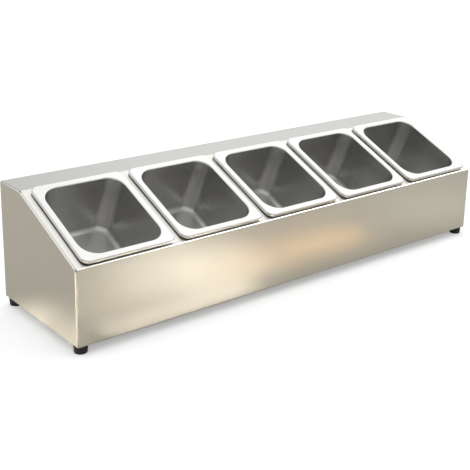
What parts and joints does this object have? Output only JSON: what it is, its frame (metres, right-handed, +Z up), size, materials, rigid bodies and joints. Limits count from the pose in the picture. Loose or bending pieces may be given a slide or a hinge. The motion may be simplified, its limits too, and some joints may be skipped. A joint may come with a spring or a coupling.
{
  "type": "spice holder",
  "caption": "Sloped countertop spice holder: a folded stainless steel housing on rubber feet, with a row of lift-out pans hung by their rims in cut-outs of the deck.",
  "frame": {"origin": "middle of the footprint, on the surface that the feet stand on", "axes": "+X along the housing to the right seen from the front, +Y to the back, +Z up; the front faces -Y"},
  "size_m": [0.89, 0.234, 0.2135],
  "materials": {
    "brushed_stainless": "fine brushed along the length",
    "polished_stainless": "polished rim, satin inside",
    "mill_finish_stainless": "dull mill finish",
    "black_rubber": "matt moulded",
    "fastener_steel": "plain stainless"
  },
  "bodies": {
    "housing": {"front_and_deck_skin": "brushed_stainless", "rear_panel": "brushed_stainless", "left_end_panel": "brushed_stainless", "right_end_panel": "brushed_stainless", "cutout_edging_1": "brushed_stainless", "cutout_edging_2": "brushed_stainless", "cutout_edging_3": "brushed_stainless", "cutout_edging_4": "brushed_stainless", "cutout_edging_5": "brushed_stainless", "deck_stiffener_1": "mill_finish_stainless", "deck_stiffener_2": "mill_finish_stainless", "deck_stiffener_3": "mill_finish_stainless", "deck_stiffener_4": "mill_finish_stainless", "left_cross_tie": "mill_finish_stainless", "right_cross_tie": "mill_finish_stainless", "foot_front_left": "black_rubber", "foot_front_right": "black_rubber", "foot_rear_left": "black_rubber", "foot_rear_right": "black_rubber", "foot_screws": "fastener_steel", "foot_washers": "fastener_steel", "foot_nuts": "fastener_steel"},
    "pan_1": {"pan_1": "polished_stainless"},
    "pan_2": {"pan_2": "polished_stainless"},
    "pan_3": {"pan_3": "polished_stainless"},
    "pan_4": {"pan_4": "polished_stainless"},
    "pan_5": {"pan_5": "polished_stainless"}
  },
  "joints": [
    {"name": "pan_1_lift", "type": "slide", "parent": "housing", "child": "pan_1", "axis": [0, -0.4067, 0.9135], "range_m": [0, 0.12]},
    {"name": "pan_2_lift", "type": "slide", "parent": "housing", "child": "pan_2", "axis": [0, -0.4067, 0.9135], "range_m": [0, 0.12]},
    {"name": "pan_3_lift", "type": "slide", "parent": "housing", "child": "pan_3", "axis": [0, -0.4067, 0.9135], "range_m": [0, 0.12]},
    {"name": "pan_4_lift", "type": "slide", "parent": "housing", "child": "pan_4", "axis": [0, -0.4067, 0.9135], "range_m": [0, 0.12]},
    {"name": "pan_5_lift", "type": "slide", "parent": "housing", "child": "pan_5", "axis": [0, -0.4067, 0.9135], "range_m": [0, 0.12]}
  ]
}
